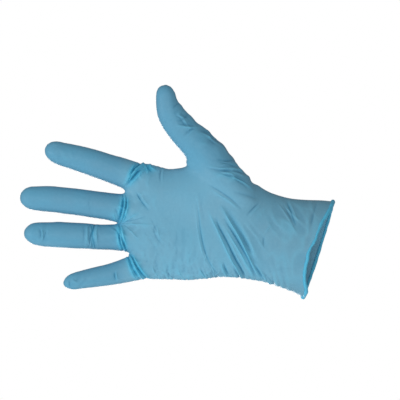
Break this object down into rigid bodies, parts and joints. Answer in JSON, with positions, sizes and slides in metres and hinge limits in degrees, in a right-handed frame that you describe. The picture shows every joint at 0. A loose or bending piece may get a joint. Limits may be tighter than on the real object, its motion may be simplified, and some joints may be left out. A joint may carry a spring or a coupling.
{
  "type": "disposable glove",
  "caption": "Thin hollow blue nitrile film glove in the form of a worn right hand, fingers spread, open at a rolled bead cuff.",
  "frame": {"origin": "middle of the cuff opening, where the wrist goes in", "axes": "+X out of the cuff along the forearm, with the fingers to -X; +Z to the thumb's side; the palm faces -Y"},
  "size_m": [0.2549, 0.0586, 0.1729],
  "materials": {
    "film": "satin"
  },
  "bodies": {
    "root": {"glove_film": "film"}
  },
  "joints": []
}
